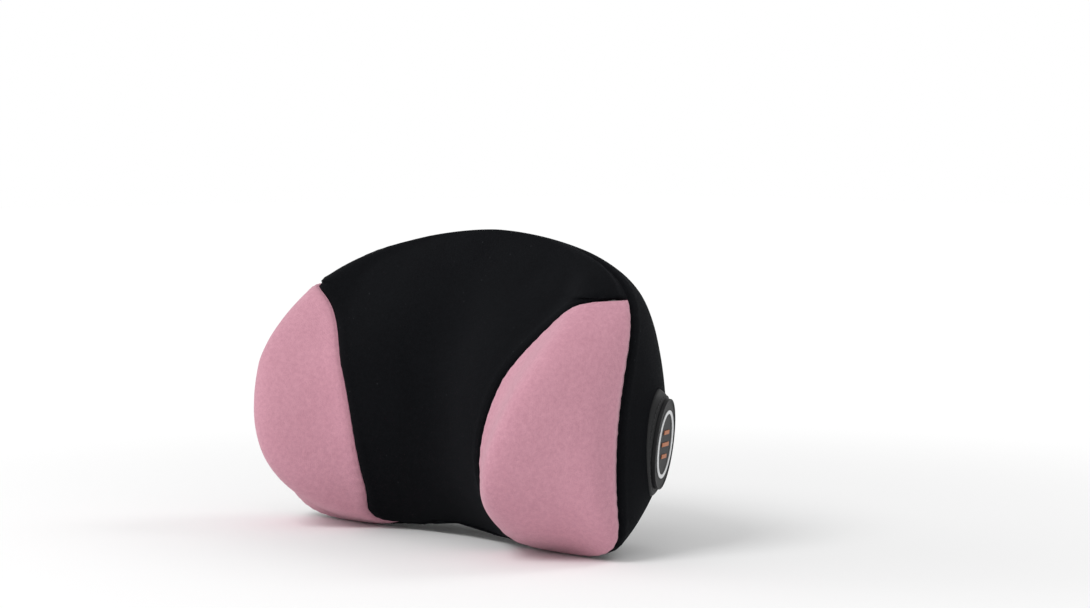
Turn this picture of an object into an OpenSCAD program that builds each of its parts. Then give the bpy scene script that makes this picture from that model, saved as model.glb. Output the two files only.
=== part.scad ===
// Head and neck pillow for an office chair. Moulded memory foam sits in a sewn, zipped cover,
// and an elastic strap with a side-release buckle holds it on the chair's back.
// Millimetres, +Z up, the user's side towards -Y. The origin is the middle of the flat back face.

/* [Pillow] */
// Width over the two wings
pillow_w = 290; // [260:1:320]
// Height of the side seam from its lowest point to its shoulder
pillow_h = 185; // [165:1:215]
// Depth of the front half's middle, ahead of the side seam
front_d = 30; // [24:1:40]
// How far the wings stand out ahead of the front half
wing_d = 40; // [30:1:46]
// How far the middle is dished in for the neck
dish_d = 16; // [0:1:20]
// Depth of the back half, behind the side seam
back_d = 89; // [80:1:98]
// Depth from the side seam's ends to the flat back
flat_d = 46; // [40:1:52]
// Rise of the top edge above the shoulders
top_arch = 4; // [0:1:12]
// Rise of the bottom edge between the two lobes
bottom_arch = 13; // [0:1:24]
// How far the side seam swings forward at mid height
seam_bow = 20; // [0:1:26]
// How far the side seam leans back, from its middle to its top
seam_lean = 15; // [0:1:18]

/* [Cover] */
// Thickness of the padded knit cover
cover_t = 1.6; // [1:0.1:2.4]
// Thickness of the inner liner
liner_t = 0.8; // [0.5:0.1:1.2]
// Slack between the cover, the liner and the foam
layer_gap = 0.15; // [0.1:0.05:0.3]
// Width of the centre panel at its waist, as a share of the pillow's width
waist = 0.38; // [0.3:0.01:0.46]
// Width of a side panel as seen from behind, as a share of half the pillow's width
side_share = 0.36; // [0.3:0.01:0.4]
// Depth of the flats that the pillow stands on
foot_cut = 4; // [2:0.5:6]

/* [Zip] */
// Height of the zip below the middle of the back face
zip_drop = 44; // [38:1:50]
// Length of the zip's teeth
zip_l = 160; // [132:4:160]
// Width of the opening that the two tapes fill
zip_slot = 22; // [20:1:26]
// Thickness of the tapes
tape_t = 0.6; // [0.4:0.1:0.8]
// Pitch of the teeth
tooth_pitch = 3; // [2:0.5:4]
// Width of a row of teeth
teeth_w = 4; // [3:0.5:5]
// Thickness of the teeth
teeth_t = 1.6; // [1.2:0.1:2]

/* [Strap and buckle] */
// Height of the strap above the middle of the back face
strap_up = 22; // [18:1:28]
// Width of the elastic strap
strap_w = 38; // [30:1:40]
// Thickness of the elastic strap
strap_t = 1.6; // [1.2:0.1:2]
// Height of the buckle's middle above the back face
strap_rise = 13; // [12:0.5:18]
// Length of the buckle's socket
socket_l = 35; // [30:1:40]
// Thickness of the buckle's socket
socket_t = 11; // [10:0.5:13]
// Wall of the buckle's socket
socket_wall = 1.8; // [1.4:0.1:2.2]
// Thickness of the buckle's plug
plug_t = 5.6; // [4.6:0.2:6]
// Radius of the bars that the strap loops round
bar_r = 1.8; // [1.5:0.1:2.2]

/* [Badge] */
// Height of the badge's stitched flange
badge_h = 63; // [52:1:70]
// Width of the badge's stitched flange
badge_w = 38; // [32:1:42]
// Height of the raised disc
disc_h = 53; // [42:1:56]
// Width of the raised disc
disc_w = 30; // [22:1:32]
// Thickness of the flange
flange_t = 1.4; // [1.2:0.1:2.2]
// Height of the raised disc above the flange
disc_t = 2; // [1.6:0.1:3]
// How far the badge leans, with its top outwards
badge_lean = 7; // [0:1:10]

/* [Hidden] */
$fn = 48;
tiny = 0.01;
fit_gap = 0.3;
big = 2 * pillow_w;

// ---- The pillow's surface ----
// A point on it is given by s, its share of the half width from -1 to 1, and q, its height
// from -1 at the bottom through 0 at the widest level to 1 at the top.
widest_z = 0.27 * pillow_h;
origin_z = 0.54 * pillow_h;
seam_y = -flat_d;
front_low = 0.57 * pillow_h;
wing_low = 0.69 * pillow_h;
back_low = 0.35 * pillow_h;
crest_s = 0.86;
crest_w = 0.2;
crest_tilt = 0.3 / 100;

// A rounded fall from 1 at the middle to 0 at the edge
function dome(t, n, m) = pow(max(0, 1 - pow(min(1, abs(t)), n)), 1 / m);
function fall(z, mid, up, down) = z > mid
    ? dome((z - mid) / (pillow_h - mid), up[0], up[1])
    : dome((mid - z) / mid, down[0], down[1]);
function height(q) = widest_z + q * (q > 0 ? pillow_h - widest_z : widest_z);
function half_width(q) = pillow_w / 2 * (q > 0 ? dome(q, 7.1, 1.75) : dome(q, 6, 3.7));
function bell(t) = exp(-t * t);

// The side seam swings forward at mid height and leans back towards the top
function seam_shift(z) = let (k = 2 * z / pillow_h - 1) seam_lean * k - seam_bow * (1 - k * k);
function front_y(s, z) =
    let (crest = crest_s + crest_tilt * (z - 100),
         wing = bell((abs(s) - crest) / crest_w) * (1 - pow(s, 6)),
         middle = front_d * dome(s, 9, 5) - dish_d * bell(s / 0.3))
    -middle * fall(z, front_low, [1.33, 0.9], [3.85, 0.81])
    - wing_d * wing * fall(z, wing_low, [2.8, 0.8], [5.9, 0.95]);
function back_y(s, z) =
    let (full = 2 * bell(s / 0.5))
    back_d * dome(s, 6, 1.2) * fall(z, back_low, [1.5 + full, 1.23], [1.6 + full, 1.12]);
// The top rises and the bottom lifts between the lobes
function edge_lift(x, z) =
    let (k = z / pillow_h, across = abs(x) / (pillow_w / 2))
    top_arch * (1 - pow(across, 1.5)) * pow(k, 3)
    + bottom_arch * bell(across / 0.47) * pow(1 - k, 2);

function skin_point(s, q, front) =
    let (z = height(q), x = s * half_width(q))
    [x, seam_y + seam_shift(z) + (front ? front_y(s, z) : back_y(s, z)),
     z + edge_lift(x, z) - origin_z];

// ---- Layers: the same surface, drawn in by a thickness ----
base_z = foot_cut - origin_z;
mid_z = base_z + pillow_h / 2;
front_end = seam_y - seam_bow - front_d - wing_d / 2;
mid_y = front_end / 2;
function drawn_in(p, t) = [
    p.x * (1 - t / (pillow_w / 2)),
    mid_y + (p.y - mid_y) * (1 - t / (-mid_y)),
    mid_z + (p.z - mid_z) * (1 - t / (pillow_h / 2))];
// The foot and the back are flat. The cover's outside is left a little proud, and cut to the plane
proud = 2;
function layer_point(s, q, front, t) =
    let (p = drawn_in(skin_point(s, q, front), t))
    [p.x, min(p.y, t > 0 ? -t : proud), max(p.z, base_z + t)];

// Rows run from the bottom to the top, with one at the tip of the wing panels
low_rows = 16;
top_rows = 6;
last_row = low_rows + top_rows;
tip_share = 0.83;
tip_angle = asin((tip_share * pillow_h - widest_z) / (pillow_h - widest_z));
function row_q(i) = sin(i <= low_rows
    ? -90 + (90 + tip_angle) * i / low_rows
    : tip_angle + (90 - tip_angle) * (i - low_rows) / top_rows);

// The wing seam curves in to the waist and out to the side seam at its tip
waist_share = 0.2;
function wing_seam(q) =
    let (k = height(q) / pillow_h)
    k >= tip_share ? 1 : 1 - (1 - waist) * (k > waist_share
        ? dome((k - waist_share) / (tip_share - waist_share), 1.9, 2)
        : dome((waist_share - k) / 0.23, 3, 2));

// Columns: the wings, the centre, and on the back the side panels and the middle
wing_cols = 6;
centre_cols = 10;
side_cols = 5;
back_cols = 12;
front_last = centre_cols + 2 * wing_cols;
back_last = back_cols + 2 * side_cols;
function front_s(i, j) =
    let (w = wing_seam(row_q(i)), k = min(j, front_last - j), way = 2 * j > front_last ? 1 : -1)
    way * (k <= wing_cols
        ? w + (1 - w) * cos(90 * k / wing_cols)
        : w * (front_last / 2 - k) / (centre_cols / 2));
function back_s(j) =
    let (w = 1 - side_share, k = min(j, back_last - j), way = 2 * j > back_last ? 1 : -1)
    way * (k <= side_cols
        ? w + side_share * cos(90 * k / side_cols)
        : w * sin(90 * (back_last / 2 - k) / (back_cols / 2)));

// ---- Meshes over the rows and columns ----
// Corners that fall on one point share one key, so that no sliver faces are made
function last_col(front) = front ? front_last : back_last;
function key_col(i, j, front) =
    i == 0 || i == last_row ? 0
    : front && i >= low_rows && j <= wing_cols ? 0
    : front && i >= low_rows && j >= front_last - wing_cols ? front_last
    : j;
function key(i, j, front) = i * (last_col(front) + 1) + key_col(i, j, front);
function grid(front, t) = [
    for (i = [0:last_row], j = [0:last_col(front)])
        layer_point(front ? front_s(i, j) : back_s(j), row_q(i), front, t)];
function whole(f) = f[0] != f[1] && f[1] != f[2] && f[2] != f[0];
function flip(f) = [for (k = [len(f) - 1:-1:0]) f[k]];

// The outward faces of the cells between two rows and two columns
function cells(front, r0, r1, c0, c1) = [
    for (i = [r0:r1 - 1], j = [c0:c1 - 1])
        let (a = key(i, j, front), b = key(i + 1, j, front),
             c = key(i + 1, j + 1, front), d = key(i, j + 1, front))
        for (f = [[a, b, c], [a, c, d]])
            if (whole(f)) front ? f : flip(f)];
function border(front, r0, r1, c0, c1) = [
    for (i = [r0:r1 - 1]) key(i, c0, front),
    for (j = [c0:c1 - 1]) key(r1, j, front),
    for (i = [r1:-1:r0 + 1]) key(i, c1, front),
    for (j = [c1:-1:c0 + 1]) key(r0, j, front)];

// A closed sheet between two layers, over some of the rows and columns
module sheet(front, c0, c1, t_out, t_in, r0 = 0, r1 = last_row) {
    n = (last_row + 1) * (last_col(front) + 1);
    outside = cells(front, r0, r1, c0, c1);
    rim = border(front, r0, r1, c0, c1);
    edges = [
        for (k = [0:len(rim) - 1])
            let (u = rim[k], v = rim[(k + 1) % len(rim)], f = [[v, u, u + n], [v, u + n, v + n]])
            if (u != v)
                each [for (g = f) front ? g : flip(g)]];
    polyhedron(
        points = concat(grid(front, t_out), grid(front, t_in)),
        faces = concat(outside, [for (f = outside) flip([for (k = f) k + n])], edges));
}

// The whole pillow as one closed body, drawn in by a thickness
module body(t) {
    n = (last_row + 1) * (front_last + 1);
    function joined(k) =
        let (i = floor(k / (back_last + 1)), j = k % (back_last + 1))
        i == 0 || i == last_row || j == 0 ? key(i, 0, true)
        : j == back_last ? key(i, front_last, true)
        : n + k;
    polyhedron(
        points = concat(grid(true, t), grid(false, t)),
        faces = concat(
            cells(true, 0, last_row, 0, front_last),
            [for (f = cells(false, 0, last_row, 0, back_last)) [for (k = f) joined(k)]]));
}

// Everything on the pillow's side of the flat back
module before_back() {
    translate([-big / 2, -big, -big / 2])
        cube(big);
}
// The pillow's outside, a hair larger, to cut what lies on it
module whole_form() {
    intersection() {
        body(-tiny);
        before_back();
    }
}

// ---- Foam and liner ----
liner_out = cover_t + layer_gap;
liner_in = liner_out + liner_t;
foam_out = liner_in + layer_gap;

module foam_core() {
    color("#e9dfc0")
        body(foam_out);
}
module inner_liner_front() {
    color("#e6e6e4")
        sheet(true, 0, front_last, liner_out, liner_in);
}
module inner_liner_back() {
    color("#dededc")
        sheet(false, 0, back_last, liner_out, liner_in);
}

// ---- Cover panels ----
black_knit = "#141518";
pink_knit = "#d29dac";

module front_centre_panel() {
    color(black_knit)
        sheet(true, wing_cols, front_last - wing_cols, 0, cover_t);
}
module wing_panel_left() {
    color(pink_knit)
        sheet(true, 0, wing_cols, 0, cover_t, r1 = low_rows);
}
module wing_panel_right() {
    color(pink_knit)
        sheet(true, front_last - wing_cols, front_last, 0, cover_t, r1 = low_rows);
}
module side_panel(from, to) {
    intersection() {
        sheet(false, from, to, 0, cover_t);
        before_back();
    }
}
module side_panel_left() {
    color(black_knit)
        side_panel(0, side_cols);
}
module side_panel_right() {
    color(black_knit)
        side_panel(back_last - side_cols, back_last);
}

// The back's middle, cut flat, with an opening for the zip
zip_z = -zip_drop;
teeth_l = min(zip_l, (1 - side_share) * pillow_w - 20);
slot_l = teeth_l + 8;
module back_middle() {
    difference() {
        intersection() {
            sheet(false, side_cols, back_last - side_cols, 0, cover_t);
            before_back();
        }
        translate([-slot_l / 2, -cover_t - 1, zip_z - zip_slot / 2])
            cube([slot_l, cover_t + 2, zip_slot]);
    }
}
module back_panel_upper() {
    color(black_knit)
        intersection() {
            back_middle();
            translate([-big / 2, -big / 2, zip_z])
                cube(big);
        }
}
module back_panel_lower() {
    color(black_knit)
        intersection() {
            back_middle();
            translate([-big / 2, -big / 2, zip_z - big])
                cube(big);
        }
}

// ---- Zip ----
tape_y = -tape_t - teeth_t / 2;
teeth_top = tape_y + tape_t + teeth_t;
tooth_reach = 0.9;
tooth_gap = 0.2;
black_tape = "#1b1c1f";
black_nylon = "#26272a";
gunmetal = "#5b5c60";

// A flat plate drawn in X and Z, from one y to another
module upright(y_from, y_to) {
    translate([0, y_to, 0])
        rotate([90, 0, 0])
            linear_extrude(y_to - y_from)
                children();
}
module zip_tape(up) {
    color(black_tape)
        translate([-slot_l / 2, tape_y, zip_z + (up > 0 ? tooth_gap : -zip_slot / 2)])
            cube([slot_l, tape_t, zip_slot / 2 - tooth_gap]);
}
module zip_tape_upper() { zip_tape(1); }
module zip_tape_lower() { zip_tape(-1); }

// One row of teeth: a spine with a tooth every pitch
teeth_n = floor(teeth_l / tooth_pitch);
module teeth_row(up) {
    reach = tooth_reach;
    start = -teeth_n * tooth_pitch / 2 + (up > 0 ? 0 : tooth_pitch / 2);
    wide = tooth_pitch / 2 - tooth_gap;
    count = up > 0 ? teeth_n : teeth_n - 1;
    comb = [
        for (k = [0:count - 1])
            let (x = start + k * tooth_pitch)
            each [[x, reach + tooth_gap], [x, -reach], [x + wide, -reach], [x + wide, reach + tooth_gap]]];
    end_x = start + (count - 1) * tooth_pitch + wide;
    color(black_nylon)
        translate([0, 0, zip_z])
            upright(tape_y + tape_t, teeth_top)
                scale([1, up])
                    polygon(concat(comb, [[end_x, teeth_w / 2], [start, teeth_w / 2]]));
}
module zip_teeth_upper() { teeth_row(1); }
module zip_teeth_lower() { teeth_row(-1); }

stop_l = 2.4;
module zip_stop(side) {
    x = side * (teeth_l / 2 + fit_gap + stop_l / 2);
    color(gunmetal)
        translate([x - stop_l / 2, tape_y + tape_t, zip_z - teeth_w / 2])
            cube([stop_l, teeth_t + 0.2, teeth_w]);
}
module zip_stop_left() { zip_stop(-1); }
module zip_stop_right() { zip_stop(1); }

// The slider waits at the closed end; its bridge holds the pull's cross bar
slider_l = 13;
slider_w = teeth_w + 3.6;
slider_x = teeth_l / 2 - slider_l / 2 - 2;
slider_plate = 1;
slider_y = teeth_top + fit_gap;
flange_w = 1.2;
bridge_l = 8;
bridge_w = 2;
bar_y = slider_y + slider_plate + 1.1;
pull_bar_r = 0.7;

module rounded(w, h, r) {
    square([w - 2 * r, h], center = true);
    square([w, h - 2 * r], center = true);
    for (x = [-1, 1], y = [-1, 1])
        translate([x * (w / 2 - r), y * (h / 2 - r)])
            circle(r);
}
module zip_slider() {
    top = slider_y + slider_plate;
    arch_in = 2.3;
    color(gunmetal)
        translate([slider_x, 0, zip_z])
            union() {
                upright(slider_y, top)
                    rounded(slider_l, slider_w, 1.8);
                for (way = [-1, 1])
                    translate([-slider_l / 2 + 2, tape_y + tape_t + fit_gap,
                               way * (slider_w - flange_w) / 2 - flange_w / 2])
                        cube([slider_l - 4, slider_y - tape_y - tape_t - fit_gap + tiny, flange_w]);
                translate([0, top, -bridge_w / 2])
                    linear_extrude(bridge_w)
                        difference() {
                            translate([0, arch_in / 2 - 0.5])
                                rounded(bridge_l, arch_in + 3, 1.4);
                            translate([-bridge_l / 2 + 1.6, -2])
                                square([bridge_l - 3.2, arch_in + 2]);
                            translate([-bridge_l, -4])
                                square([2 * bridge_l, 4 - tiny]);
                        }
            }
}

pull_l = 24;
pull_w = 7;
pull_t = 1.4;
module zip_pull() {
    eye_l = bridge_l / 2 + 0.9;
    rail = 1.5;
    color(gunmetal)
        translate([slider_x, bar_y, zip_z])
            union() {
                cylinder(r = pull_bar_r, h = pull_w, center = true);
                upright(-pull_t / 2, pull_t / 2)
                    difference() {
                        translate([-pull_l / 2 + 0.5, 0])
                            rounded(pull_l - 1, pull_w, 1.2);
                        translate([-eye_l, -pull_w / 2 + rail])
                            square([eye_l + 2, pull_w - 2 * rail]);
                    }
            }
}

// ---- Strap ----
strap_fit_z = strap_up + origin_z;
end_x = (1 - side_share) * pillow_w / 2 + 6;
flat_x = end_x - 7.5;
bar_x = socket_l - 3;
loop_l = 24;
loop_end = bar_x + loop_l;
layer_off = bar_r + 0.1 + strap_t / 2;
main_y = strap_rise - layer_off;
strap_clear = 2.3;
strap_black = "#1a1b1e";

function q_at(z) = z > widest_z ? (z - widest_z) / (pillow_h - widest_z) : (z - widest_z) / widest_z;
function back_at(x, z) =
    min(0, seam_y + seam_shift(z) + back_y(min(1, x / half_width(q_at(z))), z));
function floor_at(x) = max([for (e = [-1, 0, 1]) back_at(x, strap_fit_z + e * strap_w / 2)]);
function strap_foot(k) =
    let (x = end_x + (flat_x - end_x) * k,
         slope = floor_at(x + 0.5) - floor_at(x - 0.5),
         off = fit_gap + strap_t / 2 + strap_clear * k)
    [x, floor_at(x)] + off * [-slope, 1] / norm([slope, 1]);
// It is sewn on just outside the back seam, then swings out to the buckle
path_steps = 6;
straight = 2;
strap_path = [
    for (i = [0:path_steps]) strap_foot(i / path_steps),
    for (i = [1:path_steps])
        let (from = strap_foot(1), k = i / path_steps, swing = (1 - cos(180 * k)) / 2)
        [from.x + (loop_end + straight - from.x) * k, from.y + (main_y - from.y) * swing],
    [loop_end, main_y]];

// A band of even thickness along a path
function band_side(path, off) = [
    for (k = [0:len(path) - 1])
        let (a = path[max(0, k - 1)], b = path[min(len(path) - 1, k + 1)], d = (b - a) / norm(b - a))
        path[k] + off * [-d.y, d.x]];
module band(path, t) {
    polygon(concat(band_side(path, t / 2), flip(band_side(path, -t / 2))));
}
module strap_piece() {
    translate([0, 0, strap_up - strap_w / 2])
        linear_extrude(strap_w)
            children();
}
// The sewn loop: it goes round the bar and is stitched back onto itself
turn_steps = 8;
fold_l = loop_l / 2 - straight;
stitch_gap = 0.05;
stitched_y = main_y + strap_t + stitch_gap;
loop_turn = [
    for (i = [0:turn_steps])
        let (a = 90 + 180 * i / turn_steps)
        [bar_x + layer_off * cos(a), strap_rise - layer_off * sin(a)],
    for (i = [0:path_steps])
        let (k = i / path_steps, drop = (1 - cos(180 * k)) / 2, high = strap_rise + layer_off)
        [bar_x + straight + fold_l * k, high - (high - stitched_y) * drop],
    [bar_x + fold_l + 2 * straight, stitched_y],
    [loop_end, stitched_y]];
module strap_left() {
    color(strap_black)
        mirror([1, 0, 0])
            difference() {
                strap_piece()
                    band(concat(strap_path, loop_turn), strap_t);
                whole_form();
            }
}
module strap_right() {
    color(strap_black)
        difference() {
            strap_piece()
                band(strap_path, strap_t);
            whole_form();
        }
}
module strap_loop() {
    color(strap_black)
        strap_piece()
            band(concat([[loop_end, main_y]], loop_turn), strap_t);
}

// ---- Buckle: a socket on the left strap, a plug on the right one ----
mouth_x = 8;
socket_w = strap_w + 12;
lug_in = strap_w / 2 + 0.6;
lug_t = 6;
arm_x = mouth_x + 4;
arm_z = 15;
arm_w = 2.8;
knuckle_r = 2;
window_from = mouth_x - 25;
window_to = mouth_x - 10;
cavity_w = strap_w + 3;
buckle_black = "#202124";

module at_buckle() {
    translate([0, strap_rise, strap_up])
        children();
}
// Two lugs and the bar that a strap loops round, at the end of a piece on the +X side
module strap_bar(from_x) {
    for (way = [-1, 1])
        translate([0, 0, way * (lug_in + socket_w / 2) / 2])
            upright(-lug_t / 2, lug_t / 2)
                translate([(from_x + bar_x + 2) / 2, 0])
                    rounded(bar_x + 2 - from_x, socket_w / 2 - lug_in, 1.4);
    translate([bar_x, 0, 0])
        cylinder(r = bar_r, h = 2 * lug_in + 2, center = true);
}
module buckle_socket() {
    back_x = 5 - socket_l + 3;
    inside = socket_t - 2 * socket_wall;
    color(buckle_black)
        at_buckle()
            difference() {
                union() {
                    upright(-socket_t / 2, socket_t / 2)
                        translate([(mouth_x + back_x) / 2, 0])
                            rounded(mouth_x - back_x, socket_w, 3);
                    mirror([1, 0, 0])
                        strap_bar(-back_x - 4);
                }
                upright(-inside / 2, inside / 2)
                    translate([back_x + 5, -cavity_w / 2])
                        square([mouth_x - back_x, cavity_w]);
                upright(-inside / 2, inside / 2)
                    translate([window_from, -socket_w])
                        square([window_to - window_from, 2 * socket_w]);
            }
}
module buckle_plug() {
    base_x = mouth_x + 0.4;
    base_end = bar_x - 5;
    color(buckle_black)
        at_buckle() {
            difference() {
                union() {
                    upright(-plug_t / 2, plug_t / 2)
                        translate([(base_x + base_end) / 2, 0])
                            rounded(base_end - base_x, socket_w - 2, 2.4);
                    strap_bar(base_end - 4);
                    upright(-plug_t / 2 + 0.4, plug_t / 2 - 0.4)
                        translate([(window_from + base_end) / 2 - 2, 0])
                            rounded(base_end - window_from, 10, 1.5);
                }
                for (way = [-1, 1])
                    upright(-plug_t, plug_t)
                        translate([arm_x, way * arm_z]) {
                            circle(knuckle_r + fit_gap);
                            translate([-10, -arm_w / 2 - 1])
                                square([10, arm_w + 2]);
                        }
            }
        }
}
// A sprung arm with its thumb pad in the socket's window
module latch_arm(way) {
    pad_z = socket_w / 2 - arm_z - 0.2;
    color(buckle_black)
        at_buckle()
            upright(-plug_t / 2 + 0.4, plug_t / 2 - 0.4)
                scale([1, way])
                    translate([arm_x, arm_z]) {
                        circle(knuckle_r);
                        translate([-20, -arm_w / 2])
                            square([20, arm_w]);
                        translate([window_to - arm_x, 0])
                            polygon([
                                [-1.4, 0], [-1.4, pad_z - 1.8], [-6, pad_z], [-10, pad_z - 1.4],
                                [-14.2, 3.5], [-14.2, 0], [-11, -arm_w / 2], [-1.4, -arm_w / 2]]);
                    }
}
module latch_arm_upper() { latch_arm(1); }
module latch_arm_lower() { latch_arm(-1); }

// ---- Badge on the right side panel ----
badge_s = 0.905;
badge_q = 0.14;
badge_in = 8;
badge_at = skin_point(badge_s, badge_q, false);
badge_step = skin_point(badge_s + 0.02, badge_q, false) - skin_point(badge_s - 0.02, badge_q, false);
badge_turn = atan2(badge_step.x, -badge_step.y);
ring_band = 2.2;
trim_t = 0.5;
rubber = "#101113";

module oval(w, h) {
    polygon([for (a = [0:10:350]) [w / 2 * cos(a), h / 2 * sin(a)]]);
}
// A flat piece on the side panel, between two heights above it
module on_side(from, to) {
    translate(badge_at)
        rotate([0, badge_lean, badge_turn])
            rotate([90, 0, 90])
                translate([0, 0, from])
                    linear_extrude(to - from)
                        children();
}
module badge_flange() {
    color(rubber)
        difference() {
            on_side(-badge_in, flange_t)
                oval(badge_w, badge_h);
            whole_form();
        }
}
module badge_disc() {
    color("#17181b")
        on_side(flange_t, flange_t + disc_t)
            oval(disc_w, disc_h);
}
module badge_ring() {
    ring_w = disc_w - 6;
    ring_h = disc_h - 13;
    color("#d9dadb")
        on_side(flange_t + disc_t, flange_t + disc_t + trim_t)
            difference() {
                oval(ring_w, ring_h);
                oval(ring_w - 2 * ring_band, ring_h - 2 * ring_band);
            }
}
// Three plain bars
module badge_mark() {
    color("#c9703a")
        on_side(flange_t + disc_t, flange_t + disc_t + trim_t)
            for (k = [-1, 0, 1])
                translate([0, 7 * k])
                    square([k == 0 ? 11 : 8, 2.4], center = true);
}

foam_core();
inner_liner_front();
inner_liner_back();
front_centre_panel();
wing_panel_left();
wing_panel_right();
side_panel_left();
side_panel_right();
back_panel_upper();
back_panel_lower();
zip_tape_upper();
zip_tape_lower();
zip_teeth_upper();
zip_teeth_lower();
zip_stop_left();
zip_stop_right();
zip_slider();
zip_pull();
strap_left();
strap_right();
strap_loop();
buckle_socket();
buckle_plug();
latch_arm_upper();
latch_arm_lower();
badge_flange();
badge_disc();
badge_ring();
badge_mark();
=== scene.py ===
# %% [markdown]
# # A headrest pillow for an office chair
# The real thing is a block of memory foam in a sewn cover of two colours, with a zip and an
# elastic strap behind. The CAD model has already fixed every size. This file loads it as a frame
# that never moves, then builds the cloth, the stitching and the finishes round it.

import math

import bmesh
import bpy
import numpy as np
from mathutils import Matrix, Vector, noise
from mathutils.bvhtree import BVHTree
from mathutils.kdtree import KDTree


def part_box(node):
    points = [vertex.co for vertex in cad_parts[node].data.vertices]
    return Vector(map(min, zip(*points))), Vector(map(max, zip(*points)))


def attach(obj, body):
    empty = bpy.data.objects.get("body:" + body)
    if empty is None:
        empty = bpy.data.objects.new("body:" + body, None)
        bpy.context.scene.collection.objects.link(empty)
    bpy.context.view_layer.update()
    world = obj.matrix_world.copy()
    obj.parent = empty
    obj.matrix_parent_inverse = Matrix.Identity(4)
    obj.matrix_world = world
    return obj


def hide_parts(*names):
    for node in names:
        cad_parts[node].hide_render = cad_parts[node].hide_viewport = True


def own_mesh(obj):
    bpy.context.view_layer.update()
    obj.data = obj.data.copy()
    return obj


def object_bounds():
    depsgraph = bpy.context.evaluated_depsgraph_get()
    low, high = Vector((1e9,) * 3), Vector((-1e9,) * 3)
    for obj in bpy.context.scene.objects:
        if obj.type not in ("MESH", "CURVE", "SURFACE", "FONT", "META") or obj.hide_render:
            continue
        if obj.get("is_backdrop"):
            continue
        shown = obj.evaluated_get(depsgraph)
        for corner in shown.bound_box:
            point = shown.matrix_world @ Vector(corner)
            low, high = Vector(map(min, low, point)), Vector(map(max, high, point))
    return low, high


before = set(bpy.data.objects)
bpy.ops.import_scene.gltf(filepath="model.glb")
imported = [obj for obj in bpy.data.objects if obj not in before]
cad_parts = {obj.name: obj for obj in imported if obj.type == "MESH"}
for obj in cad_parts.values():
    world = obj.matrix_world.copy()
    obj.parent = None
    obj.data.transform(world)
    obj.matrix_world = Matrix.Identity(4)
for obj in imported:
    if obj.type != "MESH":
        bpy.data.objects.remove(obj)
cad_low, cad_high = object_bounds()
print("the CAD box in millimetres:", [round(1000 * n) for n in cad_high - cad_low])

# %% [markdown]
# ## The pillow's shape as a formula
# The foam is cast in a mould, so its surface is one smooth form: a front half with two wings and
# a dish for the neck, and a back half with a flat where it lies on the chair. A formula says where
# each point of that form is, in millimetres. It is the same one that the CAD uses, so every cloth
# piece lands on its CAD solid. `s` runs across the pillow from -1 to 1, and `q` from -1 at the
# bottom to 1 at the top.

# %% Sizes of the pillow, in millimetres
WIDE, HIGH = 290, 185
WIDEST_Z, ORIGIN_Z = 0.27 * HIGH, 0.54 * HIGH
SEAM_Y = -46
FOOT_Z = 4 - ORIGIN_Z
CORE_Y = -58.0
COVER, LINER, SLACK = 1.6, 0.8, 0.15
WAIST, TIP, SIDE_SHARE = 0.38, 0.83, 0.36
TIP_TURN = math.degrees(math.asin((TIP * HIGH - WIDEST_Z) / (HIGH - WIDEST_Z)))


# %% The formula for the surface
def dome(t, n, m):
    return np.maximum(0, 1 - np.minimum(1, np.abs(t)) ** n) ** (1 / m)


def bell(t):
    return np.exp(-t * t)


def unit(value):
    """One number, kept between 0 and 1."""
    return min(1.0, max(0.0, value))


def fall(z, middle, up, down):
    above = dome((z - middle) / (HIGH - middle), *up)
    return np.where(z > middle, above, dome((middle - z) / middle, *down))


def height(q):
    return WIDEST_Z + q * np.where(q > 0, HIGH - WIDEST_Z, WIDEST_Z)


def half_width(q):
    return WIDE / 2 * np.where(q > 0, dome(q, 7.1, 1.75), dome(q, 6, 3.7))


def seam_shift(z):
    k = 2 * z / HIGH - 1
    return 15 * k - 20 * (1 - k * k)


def front_y(s, z):
    crest = 0.86 + 0.003 * (z - 100)
    wing = bell((np.abs(s) - crest) / 0.2) * (1 - s**6)
    middle = 30 * dome(s, 9, 5) - 16 * bell(s / 0.3)
    return (-middle * fall(z, 0.57 * HIGH, (1.33, 0.9), (3.85, 0.81))
            - 40 * wing * fall(z, 0.69 * HIGH, (2.8, 0.8), (5.9, 0.95)))


def back_y(s, z):
    full = 2 * bell(s / 0.5)
    return 89 * dome(s, 6, 1.2) * fall(z, 0.35 * HIGH, (1.5 + full, 1.23), (1.6 + full, 1.12))


def edge_lift(x, z):
    k, across = z / HIGH, np.abs(x) / (WIDE / 2)
    return 4 * (1 - across**1.5) * k**3 + 13 * bell(across / 0.47) * (1 - k) ** 2


# %% The finished skin, with a soft turn into the flat back and the flat foot
def soft_top(value, limit, turn):
    """The value while it is well under the limit, and the limit above it."""
    over = np.clip((value - limit) / turn, -60, 60)
    return np.where(over < -50, value, limit - turn * np.log1p(np.exp(-over)))


def skin(s, q, front, inward=0.0):
    """Points of the pillow's surface in metres, drawn in by a thickness in millimetres."""
    s, q = np.broadcast_arrays(np.asarray(s, float), np.asarray(q, float))
    z = height(q)
    x = s * half_width(q)
    y = SEAM_Y + seam_shift(z) + (front_y(s, z) if front else back_y(s, z))
    z = z + edge_lift(x, z) - ORIGIN_Z
    middle_z = FOOT_Z + HIGH / 2
    x = x * (1 - inward / (WIDE / 2))
    y = CORE_Y + (y - CORE_Y) * (1 + inward / CORE_Y)
    z = middle_z + (z - middle_z) * (1 - inward / (HIGH / 2))
    y = soft_top(y, -inward, 2.4)
    z = -soft_top(-z, -(FOOT_Z + inward), 1.2)
    return np.stack([x, y, z], -1) / 1000


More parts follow.
